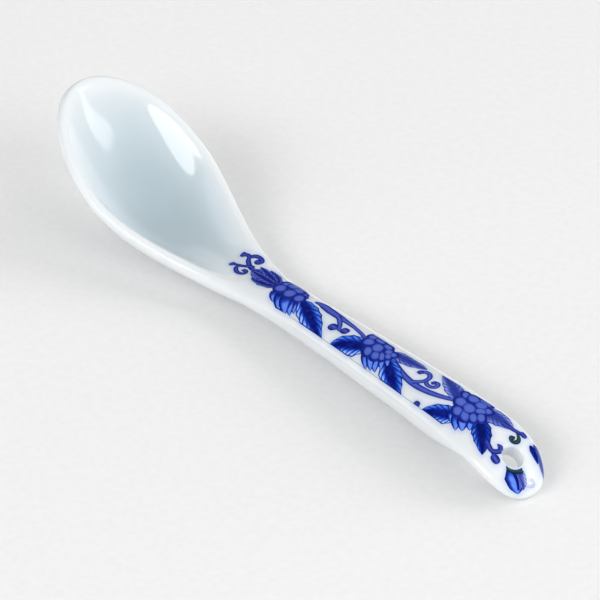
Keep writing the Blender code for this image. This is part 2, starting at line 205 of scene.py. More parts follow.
def half_width(x):
    """Plan outline: elliptic front, eased flank, straight flare, round end."""
    x = np.asarray(x, dtype=float)
    end_at = OVERALL_LENGTH - END_ROUND
    knots = [(WIDEST_AT, BOWL_WIDTH)]
    knots += between(WIDEST_AT, NECK_AT, NECK_WIDTH, BOWL_WIDTH, WIDTH_FALL)
    knots += [(NECK_AT, NECK_WIDTH)]
    knots += between(NECK_AT, end_at, NECK_WIDTH, END_WIDTH, HANDLE_FLARE)
    knots += [(end_at, END_WIDTH)]
    middle = spline(knots, np.clip(x, WIDEST_AT, end_at), 0.0, 0.0) / 2
    ahead = np.clip((WIDEST_AT - x) / WIDEST_AT, 0, 1)
    front = BOWL_WIDTH / 2 * np.sqrt(1 - ahead ** 2)
    past = np.clip((x - end_at) / END_ROUND, 0, 1)
    back = END_WIDTH / 2 * (1 - past ** END_POWER) ** (1 / END_POWER)
    return np.where(x < WIDEST_AT, front, np.where(x > end_at, back, middle))


def dip(x):
    """Depth of the section's middle below its edges: the bowl dips, the handle crowns."""
    knots = [(0.0, 0.0)]
    knots += between(0.0, NECK_AT, 0.0, BOWL_DEPTH, DEPTH_CURVE)
    set_in, height = CROWN_KNOT
    knots += [(NECK_AT + set_in * (CREST_AT - NECK_AT), -height * HANDLE_CROWN), (CREST_AT, -HANDLE_CROWN)]
    knots += [(OVERALL_LENGTH, 0.0)]
    return spline(knots, x)


def thickness(x):
    """Full thickness of the casting, from the bowl's wall to the handle and its thinner end."""
    half_way, at_neck = [WALL + share * (HANDLE_THICKNESS - WALL) for share in THICKENING]
    knots = [(0.0, WALL), (WIDEST_AT, WALL), ((WIDEST_AT + NECK_AT) / 2, half_way), (NECK_AT, at_neck)]
    knots += [((NECK_AT + CREST_AT) / 2, HANDLE_THICKNESS), (CREST_AT, HANDLE_THICKNESS)]
    knots += [(OVERALL_LENGTH, END_THICKNESS)]
    return spline(knots, x)


def ease(x, start, end):
    """Smooth step from 0 at start to 1 at end."""
    t = np.clip((x - start) / (end - start), 0, 1)
    return t * t * (3 - 2 * t)


def belly(x, share):
    """How much deeper the handle's rounded underside is than its upper side."""
    rise = ease(x, WIDEST_AT + BELLY_RISE[0] * (NECK_AT - WIDEST_AT),
                NECK_AT + BELLY_RISE[1] * (CREST_AT - NECK_AT))
    fade = ease(x, *[CREST_AT + share_past * (OVERALL_LENGTH - CREST_AT) for share_past in BELLY_FADE])
    depth = HANDLE_BELLY * rise * (1 - fade)
    return depth * (1 - np.abs(share) ** BELLY_POWER) ** (1 / BELLY_POWER)


def edge_power(x):
    """Section edge: a full round lip on the bowl, an oval on the handle."""
    bowl_end = WIDEST_AT + LIP_FADE[0] * (NECK_AT - WIDEST_AT)
    handle_start = LIP_FADE[1] * NECK_AT
    bowl_share = 1 - np.clip((x - bowl_end) / (handle_start - bowl_end), 0, 1)
    return np.maximum(HANDLE_POWER, LIP_SHARPNESS * half_width(x) / thickness(x) * bowl_share)


def end_round(x):
    """Rounds the thickness off at the bowl's tip and at the handle's end."""
    factor = 1.0
    for distance, full in ((x, WALL), (OVERALL_LENGTH - x, END_THICKNESS)):
        share = np.clip(distance / (full / 2), 0, 1)
        factor = factor * np.sqrt(1 - (1 - share) ** 2)
    return factor


def middle_height(x, y):
    """Height of the middle of the wall over a place in plan."""
    share = np.abs(y) / np.maximum(half_width(x), NO_WIDTH)
    return edge_height(x) - dip(x) * (1 - share ** SECTION_POWER)


def skin_point(x, share, side):
    """Point of the skin at station x and share -1 to 1 of the half width; side 1 is the top."""
    nudge = 1e-6
    y = share * half_width(x)
    low = np.clip(x - nudge, 0, OVERALL_LENGTH)
    high = np.clip(x + nudge, 0, OVERALL_LENGTH)
    slope_x = (middle_height(high, y) - middle_height(low, y)) / (high - low)
    slope_y = (dip(x) * SECTION_POWER * np.abs(share) ** (SECTION_POWER - 1) * np.sign(share)
               / np.maximum(half_width(x), NO_WIDTH))
    normal = np.stack([-slope_x, -slope_y, np.ones_like(slope_x)], axis=-1)
    normal /= np.linalg.norm(normal, axis=-1, keepdims=True)
    offset = thickness(x) / 2 * np.sqrt(1 - np.abs(share) ** edge_power(x)) * end_round(x)
    skin = np.stack([x, y, middle_height(x, y)], axis=-1) + side * offset[..., None] * normal
    if side < 0:
        skin[..., 2] -= belly(x, share)
    return skin


def body_rings():
    """Closed rings of skin points, from just behind the bowl's tip to just before the end."""
    turn = np.linspace(0, math.pi, STATIONS)[1:-1]
    x = OVERALL_LENGTH / 2 * (1 - np.cos(turn))
    share = np.sin(np.linspace(-math.pi / 2, math.pi / 2, HALF_RING + 1))
    station, across = np.meshgrid(x, share, indexing="ij")
    top = skin_point(station, across, 1)
    under = skin_point(station, across, -1)
    return np.concatenate([top, under[:, -2:0:-1]], axis=1)


RINGS = body_rings()
# The model's origin is under the middle of the spoon, and its lowest curve is ground off flat.
ORIGIN = np.array([(RINGS[..., 0].min() + RINGS[..., 0].max()) / 2, 0.0,
                   RINGS[RINGS[..., 0] < NECK_AT][:, 2].min() + FOOT_CUT])


def hole_frame():
    """Matrix at the hole's centre, its Z along the handle's local normal, and half the depth there."""
    x = np.array([OVERALL_LENGTH - HOLE_FROM_END])
    top = skin_point(x, np.zeros(1), 1)[0]
    under = skin_point(x, np.zeros(1), -1)[0]
    through = Vector(top - under)
    turn = Vector((0, 0, 1)).rotation_difference(through).to_matrix().to_4x4()
    return Matrix.Translation(Vector((top + under) / 2 - ORIGIN)) @ turn, through.length / 2


def put_in_scene(name, data):
    """New object in the scene, at the origin."""
    item = bpy.data.objects.new(name, data)
    bpy.context.scene.collection.objects.link(item)
    return item


def shape_object(name, shape):
    """New object of a bmesh, which is then freed."""
    mesh = bpy.data.meshes.new(name)
    shape.to_mesh(mesh)
    shape.free()
    return put_in_scene(name, mesh)


def evaluated_mesh(item):
    """Plain mesh of an object with its modifiers applied; the object itself is removed."""
    graph = bpy.context.evaluated_depsgraph_get()
    mesh = bpy.data.meshes.new_from_object(item.evaluated_get(graph))
    bpy.data.objects.remove(item, do_unlink=True)
    return mesh


def loft():
    """Skins the rings into one closed casting with a pole at each end."""
    shape = bmesh.new()
    rings = [[shape.verts.new(Vector(p - ORIGIN)) for p in ring] for ring in RINGS]
    for first, second in zip(rings, rings[1:]):
        for i in range(len(first)):
            j = (i + 1) % len(first)
            shape.faces.new((first[i], first[j], second[j], second[i]))
    for ring, x in ((rings[0], 0.0), (rings[-1], OVERALL_LENGTH)):
        pole = shape.verts.new(Vector(np.array([x, 0.0, float(edge_height(x))]) - ORIGIN))
        for i in range(len(ring)):
            shape.faces.new((ring[i], ring[(i + 1) % len(ring)], pole))
    bmesh.ops.recalc_face_normals(shape, faces=shape.faces[:])
    return shape_object("glazed_body", shape)


def hole_spool():
    """Spool that drills the hole and rounds both its mouths."""
    radius = HOLE_DIAMETER / 2
    place, half = hole_frame()
    lip = [(radius + HOLE_LIP * (1 - math.cos(a)), half - HOLE_LIP * (1 - math.sin(a)))
           for a in np.linspace(math.pi / 2, 0, LIP_STEPS)]
    outer = (radius + HOLE_LIP, half + HANDLE_THICKNESS)
    upper = [(0.0, outer[1]), outer] + lip
    profile = upper + [(r, -z) for r, z in reversed(upper)]
    shape = bmesh.new()
    line = [shape.verts.new((r, 0.0, z)) for r, z in profile]
    edges = [shape.edges.new(pair) for pair in zip(line, line[1:])]
    bmesh.ops.spin(shape, geom=line + edges, axis=(0, 0, 1), cent=(0, 0, 0), dvec=(0, 0, 0),
                   angle=2 * math.pi, steps=HOLE_STEPS, use_merge=True)
    bmesh.ops.remove_doubles(shape, verts=shape.verts[:], dist=MERGE_DISTANCE)
    bmesh.ops.recalc_face_normals(shape, faces=shape.faces[:])
    shape.transform(place)
    return shape_object("hole_spool", shape)


def foot_slab():
    """Slab under the table plane that grinds the resting spots flat."""
    shape = bmesh.new()
    size = Matrix.Diagonal((2 * OVERALL_LENGTH, 2 * BOWL_WIDTH, BOWL_DEPTH, 1))
    bmesh.ops.create_cube(shape, size=1.0, matrix=Matrix.Translation((0, 0, -BOWL_DEPTH / 2)) @ size)
    return shape_object("foot_slab", shape)


def glazed_body(finish, printed):
    """The whole casting, with the glaze's depth, lightened on the bowl's left wall as painted light, and the
    blue that bleeds from the printed points kept on it for the finish to read."""
    item = loft()
    cutters = [hole_spool(), foot_slab()]
    for cutter in cutters:
        cut = item.modifiers.new(cutter.name, "BOOLEAN")
        cut.operation = "DIFFERENCE"
        cut.solver = "EXACT"
        cut.object = cutter
    mesh = evaluated_mesh(item)
    for cutter in cutters:
        bpy.data.objects.remove(cutter, do_unlink=True)
    mesh.shade_smooth()
    mesh.set_sharp_from_angle(angle=math.radians(SHARP_ANGLE))
    mesh.materials.clear()
    mesh.materials.append(finish)
    place = np.array([v.co for v in mesh.vertices]) + ORIGIN
    upward = np.array([v.normal.z for v in mesh.vertices])
    depth = (edge_height(np.clip(place[:, 0], 0, OVERALL_LENGTH)) - place[:, 2]) / BOWL_DEPTH
    pool_and_painted_light = np.clip(depth, 0, 1) * ease(upward, *POOL_FACING)
    pool_and_painted_light *= 1 - ease(place[:, 0], POOL_FADE * NECK_AT, NECK_AT)
    # Painted light: the pooled tint is taken off towards the bowl's left wall, so its shaded inner face
    # reads lighter
    pool_and_painted_light *= 1 - NEAR_WALL_PAINTED_LIGHT * np.clip(-2 * place[:, 1] / BOWL_WIDTH, 0, 1)
    mesh.attributes.new("glaze_pool_and_painted_light", "FLOAT", "POINT").data.foreach_set("value", pool_and_painted_light)
    bleed = [math.exp(-(printed.find(v.co)[2] / BLEED_REACH) ** 2) for v in mesh.vertices]
    mesh.attributes.new("cobalt_bleed", "FLOAT", "POINT").data.foreach_set("value", bleed)
    return put_in_scene("glazed_body", mesh)


def on_handle(along, across):
    """Top skin points for places along the spoon and arc lengths across from its crest."""
    share = np.sin(np.linspace(-math.pi / 2, math.pi / 2, SECTION_SAMPLES))
    station, shares = np.meshgrid(along, share, indexing="ij")
    section = skin_point(station, shares, 1)
    step = np.linalg.norm(np.diff(section, axis=1), axis=2)
    arc = np.concatenate([np.zeros((len(along), 1)), np.cumsum(step, axis=1)], axis=1)
    arc -= arc[:, SECTION_SAMPLES // 2][:, None]
    return np.array([[np.interp(b, arc[i], section[i, :, k]) for k in range(3)]
                     for i, b in enumerate(across)])


def from_hole(place):
    """Distances of points from the hanging hole's axis, and that axis."""
    frame_at = hole_frame()[0]
    axis = np.array(frame_at.to_3x3() @ Vector((0, 0, 1)))
    away = place - np.array(frame_at.translation)
    return np.linalg.norm(away - (away @ axis)[:, None] * axis, axis=1), axis


def into_mouth(place):
    """Lets print points near the hanging hole down onto its rounded mouth."""
    radius, axis = from_hole(place)
    inward = np.clip((HOLE_DIAMETER / 2 + HOLE_LIP - radius) / HOLE_LIP, 0, 1)
    return place - (HOLE_LIP * (1 - np.sqrt(1 - inward ** 2)))[:, None] * axis


def lay_on_handle(points):
    """Carries flat (along, across, layer) points in millimetres onto the handle."""
    along, across, layer = np.array(points).T
    along, across = along * MM, across * MM
    place = on_handle(along, across)
    nudge = 0.05 * MM
    ahead = on_handle(along + nudge, across) - on_handle(along - nudge, across)
    aside = on_handle(along, across + nudge) - on_handle(along, across - nudge)
    normal = np.cross(ahead, aside)
    normal /= np.linalg.norm(normal, axis=1, keepdims=True)
    return into_mouth(place - ORIGIN) + (PRINT_LIFT + layer * LAYER_STEP)[:, None] * normal


def linear(code):
    """Linear RGBA of an sRGB hex colour."""
    parts = [int(code[i:i + 2], 16) / 255 for i in (1, 3, 5)]
    return (*[p / 12.92 if p <= 0.04045 else ((p + 0.055) / 1.055) ** 2.4 for p in parts], 1.0)


def give(tree, node, inputs):
    """Sets a node's inputs, each to a value or to a link from a socket or from a node's first output."""
    for key, value in inputs.items():
        if isinstance(value, bpy.types.Node):
            value = next(socket for socket in value.outputs if socket.enabled)
        if isinstance(value, bpy.types.NodeSocket):
            tree.links.new(value, node.inputs[key])
        else:
            node.inputs[key].default_value = value


def add(tree, kind, inputs=None, stops=(), **settings):
    """Adds a node with its settings and inputs; a colour ramp gets its (place, colour) stops."""
    node = tree.nodes.new(kind)
    for key, value in settings.items():
        setattr(node, key, value)
    give(tree, node, inputs or {})
    for i, (place, code) in enumerate(stops):
        marks = node.color_ramp.elements
        mark = marks[i] if i < len(marks) else marks.new(place)
        mark.position = place
        mark.color = linear(code)
    return node


# Finishes: blotch and wave sizes and how far light runs in the body, in millimetres
WASH_BLOTCH = 1.1
BRUSH_GRAIN = 0.35
GLAZE_WAVE = 7.0
GLAZE_SPECK = 0.6
WAVE_HEIGHT = 0.05
GLOW_REACH = 2.0
PAPER_TOOTH = 1.5
TOOTH_HEIGHT = 0.02

# Glaze and body: index, least and most roughness, share of light that enters, strength of the bleed;
# roughness of the table's paper
GLAZE_IOR = 1.5
GLAZE_ROUGHNESS = (0.05, 0.10)
BODY_GLOW = 0.25
BLEED_STRENGTH = 0.45
PAPER_ROUGHNESS = 0.8

# How far the blotches change the tone of the glaze and of each part of the print
GLAZE_UNEVEN = 0.10
PETAL_UNEVEN = 0.40
LEAF_UNEVEN = 0.40
LEAF_LIFT = 0.02
LINE_UNEVEN = 0.50

# Leaf brushwork: veins along a leaf, how far they lean to its tip and wander, and the dark wedge's
# half width at the leaf's base and its loss by the tip
LEAF_VEINS = 7.0
VEIN_LEAN = 0.32
VEIN_WANDER = 0.05
WEDGE_BASE = 0.32
WEDGE_LOSS = 0.30


def new_finish(name):
    """Material with only its shader, and the tree to draw in."""
    finish = bpy.data.materials.new(name)
    finish.use_nodes = True
    tree = finish.node_tree
    return finish, tree, tree.nodes["Principled BSDF"]


def glazed_finish(name):
    """Material under a fired clear glaze, a sharp gloss whose fine waves bend the lamps' reflections
    a little, with its tree, its shader and the socket that gives the place."""
    finish, tree, shader = new_finish(name)
    place = add(tree, "ShaderNodeTexCoord").outputs["Object"]
    wave = add(tree, "ShaderNodeTexNoise", {"Vector": place, "Scale": 1 / (GLAZE_WAVE * MM), "Detail": 1.0})
    speck = add(tree, "ShaderNodeTexNoise", {"Vector": place, "Scale": 1 / (GLAZE_SPECK * MM),
                                             "Detail": 2.0})
    rough = add(tree, "ShaderNodeMapRange", {"Value": speck, "From Min": 0.3, "From Max": 0.7,
                                             "To Min": GLAZE_ROUGHNESS[0], "To Max": GLAZE_ROUGHNESS[1]})
    relief = add(tree, "ShaderNodeBump", {"Height": wave, "Strength": 0.25, "Distance": WAVE_HEIGHT * MM})
    give(tree, shader, {"Roughness": rough, "Normal": relief, "IOR": GLAZE_IOR})
    return finish, tree, shader, place


def blotches(tree, place, size, spread, lift=0.0):
    """Cloudy patches of a size in millimetres, whose tone spreads evenly about a lift."""
    cloud = add(tree, "ShaderNodeTexNoise", {"Vector": place, "Scale": 1 / (size * MM), "Detail": 3.0})
    return add(tree, "ShaderNodeMath", {0: cloud, 1: spread, 2: lift - spread / 2}, operation="MULTIPLY_ADD")


def drawn_place(tree):
    """Place along and across a drawn shape, from 0 to 1, and the share that it lies aside of the
    middle, from its map."""
    sheet = add(tree, "ShaderNodeUVMap", uv_map="UVMap")
    part = add(tree, "ShaderNodeSeparateXYZ", {0: sheet})
    off = add(tree, "ShaderNodeMath", {0: part.outputs["Y"], 1: 2.0, 2: -1.0}, operation="MULTIPLY_ADD")
    return part.outputs["X"], part.outputs["Y"], add(tree, "ShaderNodeMath", {0: off}, operation="ABSOLUTE")


def celadon_porcelain():
    """Slip-cast porcelain under a faint celadon glaze: white where the glaze runs thin over the lip
    and handle, a cool blue-grey where it pools in the bowl, lighter on the bowl's left wall as painted
    light, and a breath of blue round the print."""
    finish, tree, shader, place = glazed_finish("celadon_glazed_porcelain")
    # The attribute carries the pooled tint with a painted light taken off on the bowl's left wall
    pool_and_painted_light = add(tree, "ShaderNodeAttribute", attribute_name="glaze_pool_and_painted_light").outputs["Fac"]
    uneven = blotches(tree, place, GLAZE_WAVE, GLAZE_UNEVEN)
    depth = add(tree, "ShaderNodeMath", {0: pool_and_painted_light, 1: uneven}, operation="ADD", use_clamp=True)
    colour = add(tree, "ShaderNodeValToRGB", {"Fac": depth},
                 ((0.0, "#E1E5E7"), (0.15, "#D6DEE2"), (0.45, "#C8D4DA"), (0.80, "#B6C5CC"),
                  (1.0, "#B0C0C8")))
    bleed = add(tree, "ShaderNodeAttribute", attribute_name="cobalt_bleed").outputs["Fac"]
    tinted = add(tree, "ShaderNodeMath", {0: bleed, 1: BLEED_STRENGTH}, operation="MULTIPLY")
    stained = add(tree, "ShaderNodeMix", {"Factor": tinted, "A": colour, "B": linear("#A3B8EA")},
                  data_type="RGBA")
    give(tree, shader, {"Base Color": stained, "Subsurface Weight": BODY_GLOW,
                        "Subsurface Radius": (1, 1, 1), "Subsurface Scale": GLOW_REACH * MM})
    return finish


def cobalt_petals():
    """Cobalt printed thin under the glaze: lavender-blue lobes that darken to an outline where the
    colour gathers at their edges."""
    finish, tree, shader, place = glazed_finish("cobalt_petal_underglaze")
    sheet = add(tree, "ShaderNodeUVMap", uv_map="UVMap")
    centred = add(tree, "ShaderNodeMapping", {"Vector": sheet, "Location": (-1, -1, 0), "Scale": (2, 2, 1)})
    edge = add(tree, "ShaderNodeVectorMath", {0: centred}, operation="LENGTH")
    uneven = blotches(tree, place, WASH_BLOTCH, PETAL_UNEVEN)
    tone = add(tree, "ShaderNodeMath", {0: edge, 1: uneven}, operation="ADD")
    colour = add(tree, "ShaderNodeValToRGB", {"Fac": tone},
                 ((0.0, "#566AC4"), (0.60, "#5065BF"), (0.80, "#3A4FAE"), (0.93, "#1B2E96"),
                  (1.0, "#132280")))
    give(tree, shader, {"Base Color": colour})
    return finish


def cobalt_blades():
    """Pointed sepals in the same print: bright cobalt with a dark base and outline."""
    finish, tree, shader, place = glazed_finish("cobalt_blade_underglaze")
    along, _, aside = drawn_place(tree)
    fill = add(tree, "ShaderNodeMapRange", {"Value": aside, "From Min": 0.9, "From Max": 0.35},
               interpolation_type="SMOOTHSTEP")
    from_base = add(tree, "ShaderNodeMapRange", {"Value": along, "From Min": 0.05, "From Max": 0.55},
                    interpolation_type="SMOOTHSTEP")
    uneven = blotches(tree, place, WASH_BLOTCH, LINE_UNEVEN)
    light = add(tree, "ShaderNodeMath", {0: fill, 1: from_base, 2: uneven}, operation="MULTIPLY_ADD",
                use_clamp=True)
    colour = add(tree, "ShaderNodeValToRGB", {"Fac": light},
                 ((0.0, "#0A1878"), (0.4, "#1A3AA6"), (0.75, "#3059C6"), (1.0, "#648AF0")))
    give(tree, shader, {"Base Color": colour})
    return finish


def cobalt_leaf(name, far_side_light, stops, outline):
    """Leaf brushed in cobalt: a dark wedge along its midrib, slanting veins, lighter cells at the
    margin on one side and a thin outline."""
    finish, tree, shader, place = glazed_finish(name)
    along, across, aside = drawn_place(tree)
    lean = add(tree, "ShaderNodeMath", {0: aside, 1: -VEIN_LEAN, 2: along}, operation="MULTIPLY_ADD")
    grain = add(tree, "ShaderNodeTexNoise", {"Vector": place, "Scale": 1 / (BRUSH_GRAIN * MM),
                                             "Detail": 2.0})
    wander = add(tree, "ShaderNodeMath", {0: grain, 1: VEIN_WANDER, 2: lean}, operation="MULTIPLY_ADD")
    count = add(tree, "ShaderNodeMath", {0: wander, 1: LEAF_VEINS}, operation="MULTIPLY")
    fold = add(tree, "ShaderNodeMath", {0: count, 1: 0.5}, operation="PINGPONG")
    cell = add(tree, "ShaderNodeMapRange", {"Value": fold, "From Min": 0.04, "From Max": 0.30,
                                            "To Min": 0.25}, interpolation_type="SMOOTHSTEP")
    wedge = add(tree, "ShaderNodeMath", {0: along, 1: -WEDGE_LOSS, 2: WEDGE_BASE}, operation="MULTIPLY_ADD")
    margin = add(tree, "ShaderNodeMapRange", {"Value": aside, "From Min": wedge, "From Max": 0.78},
                 interpolation_type="SMOOTHSTEP")
    side = add(tree, "ShaderNodeMapRange", {"Value": across, "From Min": 0.42, "From Max": 0.58,
                                            "To Min": 1.0, "To Max": far_side_light})
    cells = add(tree, "ShaderNodeMath", {0: cell, 1: margin}, operation="MULTIPLY")
    uneven = blotches(tree, place, WASH_BLOTCH, LEAF_UNEVEN, LEAF_LIFT)
    light = add(tree, "ShaderNodeMath", {0: cells, 1: side, 2: uneven}, operation="MULTIPLY_ADD",
                use_clamp=True)
    colour = add(tree, "ShaderNodeValToRGB", {"Fac": light}, stops)
    rim = add(tree, "ShaderNodeMapRange", {"Value": aside, "From Min": 0.86, "From Max": 0.96})
    drawn = add(tree, "ShaderNodeMix", {"Factor": rim, "A": colour, "B": linear(outline)}, data_type="RGBA")
    give(tree, shader, {"Base Color": drawn})
    return finish


def cobalt_line(name, edge_code, middle_code):
    """Brush line: colour gathers along both edges of the stroke and leaves its middle lighter."""
    finish, tree, shader, place = glazed_finish(name)
    aside = drawn_place(tree)[2]
    uneven = blotches(tree, place, WASH_BLOTCH, LINE_UNEVEN)
    tone = add(tree, "ShaderNodeMath", {0: aside, 1: uneven}, operation="ADD")
    colour = add(tree, "ShaderNodeValToRGB", {"Fac": tone}, ((0.15, middle_code), (0.75, edge_code)))
    give(tree, shader, {"Base Color": colour})
    return finish


def matt_paper():
    """Matt coated paper of the table: neutral white with a faint tooth and no gloss."""
    finish, tree, shader = new_finish("matt_coated_paper")
    place = add(tree, "ShaderNodeTexCoord").outputs["Object"]
    tooth = add(tree, "ShaderNodeTexNoise", {"Vector": place, "Scale": 1 / (PAPER_TOOTH * MM),
                                             "Detail": 4.0})
    colour = add(tree, "ShaderNodeValToRGB", {"Fac": tooth}, ((0.35, "#EAEAEA"), (0.65, "#EDEDED")))
    relief = add(tree, "ShaderNodeBump", {"Height": tooth, "Strength": 0.04, "Distance": TOOTH_HEIGHT * MM})
    give(tree, shader, {"Base Color": colour, "Normal": relief, "Roughness": PAPER_ROUGHNESS})
    return finish


def new_tree(name, inputs):
    """Geometry tree with named inputs after its geometry, and the sockets that they give."""
    tree = bpy.data.node_groups.new(name, "GeometryNodeTree")
    for label, kind in (("Geometry", "NodeSocketGeometry"),) + inputs:
        tree.interface.new_socket(label, in_out="INPUT", socket_type=kind)
    tree.interface.new_socket("Geometry", in_out="OUTPUT", socket_type="NodeSocketGeometry")
    return tree, add(tree, "NodeGroupInput").outputs


def close_tree(tree, geometry, finish):
    """Ends a tree: one real mesh with its finish."""
    real = add(tree, "GeometryNodeRealizeInstances", {"Geometry": geometry})
    dressed = add(tree, "GeometryNodeSetMaterial", {"Geometry": real, "Material": finish})
    add(tree, "NodeGroupOutput", {"Geometry": dressed})
    return tree


def brush_band_tree():
    """A flat stroke along a path of edges, as wide as the path's own half_width says."""
    tree, given = new_tree("brush_band", (("Strips Across", "NodeSocketInt"),
                                          ("Finish", "NodeSocketMaterial")))
    half, along, across = [add(tree, "GeometryNodeInputNamedAttribute", {"Name": name}, data_type="FLOAT")
                           for name in ("half_width", "along", "across")]
    path = add(tree, "GeometryNodeMeshToCurve", {"Mesh": given["Geometry"]})
    level = add(tree, "GeometryNodeSetCurveNormal", {"Curve": path}, mode="Z_UP")
    share = add(tree, "GeometryNodeSplineParameter").outputs["Factor"]
    run = add(tree, "GeometryNodeStoreNamedAttribute", {"Geometry": level, "Name": "along", "Value": share},
              data_type="FLOAT", domain="POINT")
    nib = add(tree, "GeometryNodeCurvePrimitiveLine", {"Start": (-1, 0, 0), "End": (1, 0, 0)})
    strips = add(tree, "GeometryNodeResampleCurve", {"Curve": nib, "Count": given["Strips Across"]})
    width = add(tree, "GeometryNodeStoreNamedAttribute",
                {"Geometry": strips, "Name": "across", "Value": share},
                data_type="FLOAT", domain="POINT")
    band = add(tree, "GeometryNodeCurveToMesh", {"Curve": run, "Profile Curve": width, "Scale": half})
    sheet = add(tree, "ShaderNodeCombineXYZ", {"X": along, "Y": across})
    mapped = add(tree, "GeometryNodeStoreNamedAttribute",
                 {"Geometry": band, "Name": "UVMap", "Value": sheet},
                 data_type="FLOAT2", domain="CORNER")
    return close_tree(tree, mapped, given["Finish"])


def petal_cluster_tree():
    """One petal shape on every point, turned and stretched as the point's turn and size say."""
    tree, given = new_tree("petal_cluster", (("Petal", "NodeSocketObject"),
                                             ("Finish", "NodeSocketMaterial")))
    turn, size = [add(tree, "GeometryNodeInputNamedAttribute", {"Name": name}, data_type="FLOAT_VECTOR")
                  for name in ("turn", "size")]
    petal = add(tree, "GeometryNodeObjectInfo", {"Object": given["Petal"]})
    spun = add(tree, "FunctionNodeEulerToRotation", {0: turn})
    laid = add(tree, "GeometryNodeInstanceOnPoints",
               {"Points": given["Geometry"], "Instance": petal.outputs["Geometry"],
                "Rotation": spun, "Scale": size})
    return close_tree(tree, laid, given["Finish"])


def run_tree(tree, item, values):
    """Plain mesh that a tree makes of an object, with its named inputs set; the object goes."""
    sockets = {s.name: s.identifier for s in tree.interface.items_tree if s.in_out == "INPUT"}
    step = item.modifiers.new(tree.name, "NODES")
    step.node_group = tree
    for label, value in values.items():
        step[sockets[label]] = value
    return evaluated_mesh(item)


BRUSH_BAND = brush_band_tree()
PETAL_CLUSTER = petal_cluster_tree()

# Drawing fineness: points and strips of a stroke or leaf, spokes and rings of a petal, rows and
# strips of a blade
STROKE_POINTS = 40
LEAF_POINTS = 60
LEAF_STRIPS = 17
STROKE_STRIPS = 5
PETAL_SPOKES = 24
PETAL_RINGS = 3
BLADE_ROWS = 17
BLADE_STRIPS = 7

# Outlines: squareness of a petal; share left off a leaf's ends, fullness of its sides and depth of
# its lobes; where a blade's base cuts its lens shape, how far that leans to the base and how full
# it is
PETAL_POWER = 2.4
LEAF_CLIP = 0.004
LEAF_FULLNESS = 0.75
LOBE_DEPTH = 0.10
BLADE_BASE = 0.18
BLADE_LEAN = 0.9
BLADE_FULLNESS = 0.8

# Print pieces as they are laid
PRINTS = []


def smooth_path(points, count):
    """Even points on a smooth curve through the given ones."""
    line = np.array(points, dtype=float)
    run = np.concatenate([[0], np.cumsum(np.linalg.norm(np.diff(line, axis=0), axis=1))])
    at = np.linspace(0, run[-1], count)
    return np.stack([spline(list(zip(run, line[:, k])), at) for k in (0, 1)], axis=1)


def band(path, half_widths, finish, layer, strips):
    """Flat mesh of a stroke along a path, with its half width at each point."""
    mesh = bpy.data.meshes.new("band_path")
    mesh.from_pydata([(a, b, layer) for a, b in path], [(i, i + 1) for i in range(len(path) - 1)], [])
    mesh.attributes.new("half_width", "FLOAT", "POINT").data.foreach_set("value", half_widths)
    return run_tree(BRUSH_BAND, put_in_scene("band_path", mesh),
                    {"Strips Across": strips, "Finish": finish})


def stroke(points, half_widths, finish, layer=0):
    """Brush stroke through points, its half width running evenly through the given ones."""
    share = np.linspace(0, 1, STROKE_POINTS)
    widths = np.interp(share, np.linspace(0, 1, len(half_widths)), half_widths)
    return band(smooth_path(points, STROKE_POINTS), widths, finish, layer, STROKE_STRIPS)


def leaf(points, half_width_most, finish, layer=0, lobes=5, lean=0.75, mirror=False):
    """Pointed leaf along a midrib through points, with a lobed margin. It is fullest near its base
    where lean is under 1, and mirror turns its lighter side over."""
    share = np.linspace(LEAF_CLIP, 1 - LEAF_CLIP, LEAF_POINTS)
    widths = half_width_most * np.sin(math.pi * share ** lean) ** LEAF_FULLNESS
    widths *= 1 - LOBE_DEPTH * np.abs(np.cos(lobes * math.pi * share))
    if mirror:
        widths = -widths
    return band(smooth_path(points, LEAF_POINTS), widths, finish, layer, LEAF_STRIPS)


def disc_petal():
    """Round scale petal of radius 1, with its own place as its map."""
    shape = bmesh.new()
    sheet = shape.loops.layers.uv.new("UVMap")
    middle = shape.verts.new((0, 0, 0))
    rings = []
    for ring in range(1, PETAL_RINGS + 1):
        points = []
        for turn in np.linspace(0, 2 * math.pi, PETAL_SPOKES, endpoint=False):
            across = np.array([math.cos(turn), math.sin(turn)])
            across /= np.sum(np.abs(across) ** PETAL_POWER) ** (1 / PETAL_POWER)
            points.append(shape.verts.new((*(across * ring / PETAL_RINGS), 0)))
        rings.append(points)
    for i in range(PETAL_SPOKES):
        j = (i + 1) % PETAL_SPOKES
        shape.faces.new((middle, rings[0][i], rings[0][j]))
        for inner, outer in zip(rings, rings[1:]):
            shape.faces.new((inner[i], outer[i], outer[j], inner[j]))
    for face in shape.faces:
        for corner in face.loops:
            corner[sheet].uv = ((corner.vert.co.x + 1) / 2, (corner.vert.co.y + 1) / 2)
    return shape_object("disc_petal", shape)


def pointed_blade():
    """Blade of length 1 along X and width 2, mapped from base to point and from side to side."""
    shape = bmesh.new()
    sheet = shape.loops.layers.uv.new("UVMap")
    rows = []
    for t in np.linspace(0, 1, BLADE_ROWS):
        half = math.sin(math.pi * (BLADE_BASE + (1 - BLADE_BASE) * t) ** BLADE_LEAN) ** BLADE_FULLNESS
        rows.append([(shape.verts.new((t, half * s, 0)), (t, (s + 1) / 2))
                     for s in np.linspace(-1, 1, BLADE_STRIPS)])
    for first, second in zip(rows, rows[1:]):
        for i in range(BLADE_STRIPS - 1):
            corners = (first[i], second[i], second[i + 1], first[i + 1])
            face = shape.faces.new([vert for vert, place in corners])
            for corner, (vert, place) in zip(face.loops, corners):
                corner[sheet].uv = place
    return shape_object("pointed_blade", shape)


